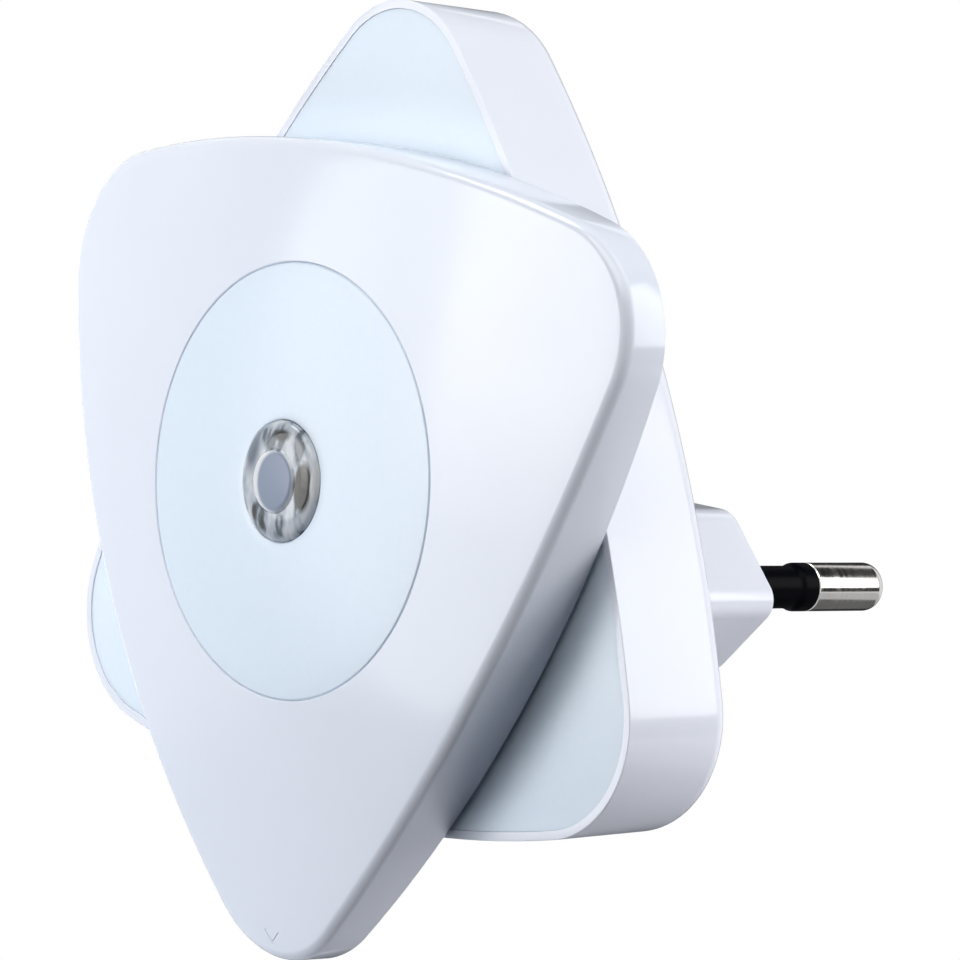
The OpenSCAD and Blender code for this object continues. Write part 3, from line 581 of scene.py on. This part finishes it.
frosted, tree, shader, coords = new_material("frosted_flat")
frost = noise(tree, coords, 900, 3.0)
# The flat keeps its pale frosted tone only in a crescent on its -x side, a painted highlight; the
# offset patch tints the rest grey-blue.
painted_crescent = clouded(tree, frost, (0.92, 0.94, 0.98), (0.98, 0.99, 1.0))
middle = spot(tree, coords, (0.5, 0.0), (2.35, 2.5), 0.06)
tree.links.new(tinted(tree, middle, painted_crescent, (0.29, 0.35, 0.48)), shader.inputs["Base Color"])
tree.links.new(clouded(tree, frost, 0.30, 0.42), shader.inputs["Roughness"])
shader.inputs["Transmission Weight"].default_value = 0.25
shader.inputs["IOR"].default_value = 1.49
bump(tree, shader, frost, 0.1, 0.00001)

dress(lens, clear, "main", "sensor_lens")
lens.data.materials.append(frosted)
for face in lens.data.polygons:
    if face.center.y < FROSTED_Y * MM:
        face.material_index = 1
dress_cad("light_sensor", plastic("sensor_resin", (0.62, 0.70, 0.78), rough=0.08, coat=0.5))
dress_cad("sensor_tube", plastic("tube_black", (0.01, 0.01, 0.012), rough=0.45,
                                 change=0.3, grain=0.3))

# ---------------------------------------------------------------------------
# Front cover. Domed shell of glossy white plastic, one corner down and open at
# the back; its bush turns on the journal and the lug on the bush meets the
# diffuser's stops. A small V at the tip marks where it stands.
# ---------------------------------------------------------------------------
FACE_T, FACE_EDGE, COVER_BACK_Y, CORE_R, FACE_STEPS = 1.8, 0.8, -29.8, 16.0, 10
OPENING_R = 16.98
BUSH_IN_R, BUSH_R, BUSH_BACK_Y, FLANGE_R, FLANGE_T = 15.38, 16.9, -30.0, 19.0, 1.45
FLANGE_FRONT_Y = DISC_BACK_Y + 0.15
LUG_IN_R, LUG_R, LUG_BACK_Y = 16.2, 19.5, -30.02
MARK_R, MARK_ARM, MARK_HALF_W, MARK_DEPTH, MARK_HALF_DEG = 36.5, 1.3, 0.09, 0.06, 42

rings = [triangle_ring(WALL, lambda r: dome(r, FACE_T), part=k / FACE_STEPS, core=CORE_R)
         for k in range(FACE_STEPS + 1)]
rings += [triangle_ring(WALL, COVER_BACK_Y + 0.001), triangle_ring(WALL - 0.08, COVER_BACK_Y),
          triangle_ring(0.1, COVER_BACK_Y), triangle_ring(0.02, COVER_BACK_Y - 0.06),
          triangle_ring(0.0, COVER_BACK_Y - 0.15)]
for inset, drop in arc(FACE_EDGE, FACE_EDGE, FACE_EDGE, 180, 270, 10):
    rings.append(triangle_ring(inset, lambda r, drop=drop: dome(r, drop)))
rings += [triangle_ring(FACE_EDGE, dome, part=k / FACE_STEPS, core=CORE_R)
          for k in range(FACE_STEPS - 1, -1, -1)]
cover = skin("front_cover_shell", rings, loop=True)

bush = lathe("bush", [(BUSH_IN_R, BUSH_BACK_Y), (BUSH_R, BUSH_BACK_Y),
                      (BUSH_R, FLANGE_FRONT_Y + FLANGE_T), (FLANGE_R, FLANGE_FRONT_Y + FLANGE_T),
                      (FLANGE_R, FLANGE_FRONT_Y), (BUSH_IN_R, FLANGE_FRONT_Y)],
             HUB, steps=192, loop=True)
lug = ring_sector("lug", LUG_IN_R, LUG_R, LUG_BACK_Y, FLANGE_FRONT_Y + 1.2, -90, LUG_HALF_DEG)
join_boolean(cover, [bush, lug], "UNION")

opening_y = dome(OPENING_R)
opening = lathe("opening", [(OPENING_R, FLANGE_FRONT_Y + 0.005), (OPENING_R, opening_y + 0.14),
                            (OPENING_R + 0.04, opening_y + 0.05),
                            (OPENING_R + 0.14, opening_y - 0.01),
                            (OPENING_R + 0.14, opening_y - 2.5)], HUB, steps=192)
join_boolean(cover, [opening], "DIFFERENCE")

lean = math.radians(MARK_HALF_DEG)
arm_x, arm_z = MARK_ARM * math.sin(lean), MARK_ARM * math.cos(lean)
side_x, side_z = MARK_HALF_W * math.cos(lean), MARK_HALF_W * math.sin(lean)
mark_outline = [(0, -MARK_HALF_W / math.sin(lean)), (arm_x + side_x, arm_z - side_z),
                (arm_x - side_x, arm_z + side_z), (0, MARK_HALF_W / math.sin(lean)),
                (-arm_x + side_x, arm_z + side_z), (-arm_x - side_x, arm_z - side_z)]
mark = skin("index_mark",
            [[(x * MM, (dome(math.hypot(x, MARK_R - z)) + drop) * MM, (HUB[1] - MARK_R + z) * MM)
              for x, z in mark_outline] for drop in (-0.5, MARK_DEPTH)])
join_boolean(cover, [mark], "DIFFERENCE")
dress(cover, plastic("cover_white", (0.79, 0.83, 0.92), rough=0.12, peel=0.03),
      "cover", "front_cover")

# ---------------------------------------------------------------------------
# Stage. A camera, soft lamps around the object, dark cards for gloss and metal
# to mirror, a plain pale floor far below and a white surround.
# ---------------------------------------------------------------------------
AZIMUTH, ELEVATION, ROLL = (math.radians(deg) for deg in (49.09768, 5.74203, 5.66219))
PICTURE_PX, SENSOR_MM = 960, 36.0
FOCAL_PX, HUB_U, HUB_V, DISTANCE = 5243.4923, 280.35244, 481.10077, 404.83419
CENTRE = Vector((0.0, -0.025, 0.005))
FLOOR_Z, FLOOR_HALF = -0.9, 2.7

scene = bpy.context.scene
back = Vector((math.sin(AZIMUTH) * math.cos(ELEVATION), -math.cos(AZIMUTH) * math.cos(ELEVATION),
               math.sin(ELEVATION)))
flat = Vector((math.cos(AZIMUTH), math.sin(AZIMUTH), 0))
upright = back.cross(flat)
right = math.cos(ROLL) * flat + math.sin(ROLL) * upright
up = -math.sin(ROLL) * flat + math.cos(ROLL) * upright
mm_per_px = DISTANCE / FOCAL_PX
eye = Vector((HUB[0], DOME_Y, HUB[1])) + DISTANCE * back
eye += (PICTURE_PX / 2 - HUB_U) * mm_per_px * right + (HUB_V - PICTURE_PX / 2) * mm_per_px * up
cam = bpy.data.cameras.new("camera")
cam.sensor_width = SENSOR_MM
cam.lens = FOCAL_PX * SENSOR_MM / PICTURE_PX
cam.clip_start = 0.01
cam_obj = bpy.data.objects.new("camera", cam)
scene.collection.objects.link(cam_obj)
axes = Matrix((right, up, back)).transposed().to_4x4()
cam_obj.matrix_world = Matrix.Translation(eye * MM) @ axes
scene.camera = cam_obj


def set_around(obj, left_deg, up_deg, distance):
    """Stands an object around the centre, facing it: degrees left of the front, then up."""
    a, e = math.radians(left_deg), math.radians(up_deg)
    away = Vector((-math.sin(a) * math.cos(e), -math.cos(a) * math.cos(e), math.sin(e)))
    scene.collection.objects.link(obj)
    obj.location = CENTRE + distance * away
    obj.rotation_euler = away.to_track_quat("Z", "Y").to_euler()
    obj.visible_camera = False


def softbox(name, left_deg, up_deg, distance, size, radiance, tint=(1.0, 1.0, 1.0),
            shape="RECTANGLE", mirrored=True):
    """Lamp that faces the object; a radiance of 1 is as bright as the white surround."""
    lamp = bpy.data.lights.new(name, "AREA")
    lamp.shape = shape
    lamp.size, lamp.size_y = size
    area = size[0] * size[1] * (math.pi / 4 if shape == "ELLIPSE" else 1)
    lamp.energy = radiance * math.pi * area
    lamp.color = tint
    obj = bpy.data.objects.new(name, lamp)
    set_around(obj, left_deg, up_deg, distance)
    obj.visible_glossy = mirrored


def card(name, left_deg, up_deg, distance, size, grey):
    """Dark matt card that only metal and gloss see."""
    mesh = bpy.data.meshes.new(name)
    w, h = size[0] / 2, size[1] / 2
    mesh.from_pydata([(-w, -h, 0), (w, -h, 0), (w, h, 0), (-w, h, 0)], [], [(0, 1, 2, 3)])
    obj = bpy.data.objects.new(name, mesh)
    set_around(obj, left_deg, up_deg, distance)
    mat, tree, shader, coords = new_material(name)
    tree.links.new(clouded(tree, noise(tree, coords, 30), grey * 0.9, grey * 1.1),
                   shader.inputs["Base Color"])
    shader.inputs["Roughness"].default_value = 0.9
    obj.data.materials.append(mat)
    obj.visible_diffuse = False
    obj.visible_shadow = False


softbox("key_round", 34, 1, 0.60, (0.42, 0.38), 2.5, shape="ELLIPSE")
for part, lift in enumerate((8, 11, 14)):
    softbox("key_hot_%d" % part, 29, lift, 0.60, (0.19, 0.30), 1.0, (1.0, 0.975, 0.94))
softbox("front_top", -10, 45, 0.60, (0.40, 0.30), 3.5, (0.96, 0.985, 1.0))
softbox("top_line", 50, 56, 0.60, (0.22, 0.18), 6.0)
softbox("table_front", 60, -38, 0.45, (0.40, 0.16), 7.0, (0.86, 0.92, 1.0), mirrored=False)
softbox("edge_light", -48, 48, 0.60, (0.20, 0.20), 2.4)
softbox("back_right", 236, 23, 0.32, (0.26, 0.23), 3.0)
softbox("top_right", 250, 66, 0.50, (0.40, 0.30), 1.3)
softbox("top_behind", 200, 66, 0.50, (0.40, 0.30), 1.2, (0.92, 0.96, 1.0))
softbox("table_behind", 212, -34, 0.42, (0.50, 0.24), 2.3, (0.94, 0.945, 1.0), mirrored=False)
softbox("table_right", 247, -18, 0.50, (0.24, 0.16), 1.8, mirrored=False)
card("card_behind", 165, 62, 0.45, (0.7, 0.42), 0.02)
card("card_back_left", 140, -4, 0.45, (0.34, 0.62), 0.02)
card("card_line", 229, -4, 0.50, (0.36, 0.11), 0.02)
card("card_low", 196, -62, 0.30, (0.42, 0.34), 0.2)


def seeing_rays(tree):
    """1 for the rays by which the camera, gloss and clear plastic see the surround."""
    path = tree.nodes.new("ShaderNodeLightPath")
    value = path.outputs["Is Camera Ray"]
    for ray in ("Is Glossy Ray", "Is Transmission Ray"):
        larger = tree.nodes.new("ShaderNodeMath")
        larger.operation = "MAXIMUM"
        tree.links.new(value, larger.inputs[0])
        tree.links.new(path.outputs[ray], larger.inputs[1])
        value = larger.outputs[0]
    direct = tree.nodes.new("ShaderNodeMath")
    direct.operation = "LESS_THAN"
    direct.inputs[1].default_value = 0.5
    tree.links.new(path.outputs["Diffuse Depth"], direct.inputs[0])
    both = tree.nodes.new("ShaderNodeMath")
    both.operation = "MULTIPLY"
    tree.links.new(value, both.inputs[0])
    tree.links.new(direct.outputs[0], both.inputs[1])
    return both.outputs[0]


floor_mesh = bpy.data.meshes.new("floor")
floor_mesh.from_pydata([(-FLOOR_HALF, -FLOOR_HALF, FLOOR_Z), (FLOOR_HALF, -FLOOR_HALF, FLOOR_Z),
                        (FLOOR_HALF, FLOOR_HALF, FLOOR_Z), (-FLOOR_HALF, FLOOR_HALF, FLOOR_Z)],
                       [], [(0, 1, 2, 3)])
floor = bpy.data.objects.new("floor", floor_mesh)
scene.collection.objects.link(floor)
floor_paper, tree, shader, coords = new_material("floor_paper")
pale = clouded(tree, noise(tree, coords, 6, 4.0), (0.80, 0.805, 0.82), (0.84, 0.845, 0.86))
seen = tree.nodes.new("ShaderNodeMix")
seen.data_type = "RGBA"
seen.inputs["A"].default_value = (0.05, 0.05, 0.055, 1)
tree.links.new(seeing_rays(tree), seen.inputs["Factor"])
tree.links.new(pale, seen.inputs["B"])
tree.links.new(seen.outputs["Result"], shader.inputs["Base Color"])
tree.links.new(seen.outputs["Result"], shader.inputs["Emission Color"])
shader.inputs["Emission Strength"].default_value = 0.7
shader.inputs["Roughness"].default_value = 0.8
floor.data.materials.append(floor_paper)

world = bpy.data.worlds.new("surround")
scene.world = world
world.use_nodes = True
tree = world.node_tree
tree.nodes.clear()
out = tree.nodes.new("ShaderNodeOutputWorld")
white = tree.nodes.new("ShaderNodeBackground")
white.inputs["Color"].default_value = (1, 1, 1, 1)
glow = tree.nodes.new("ShaderNodeBackground")
glow.inputs["Color"].default_value = (0.86, 0.9, 1.0, 1)
glow.inputs["Strength"].default_value = 0.015
mix = tree.nodes.new("ShaderNodeMixShader")
tree.links.new(seeing_rays(tree), mix.inputs["Fac"])
tree.links.new(glow.outputs[0], mix.inputs[1])
tree.links.new(white.outputs[0], mix.inputs[2])
tree.links.new(mix.outputs[0], out.inputs["Surface"])

scene.view_settings.view_transform = "Standard"
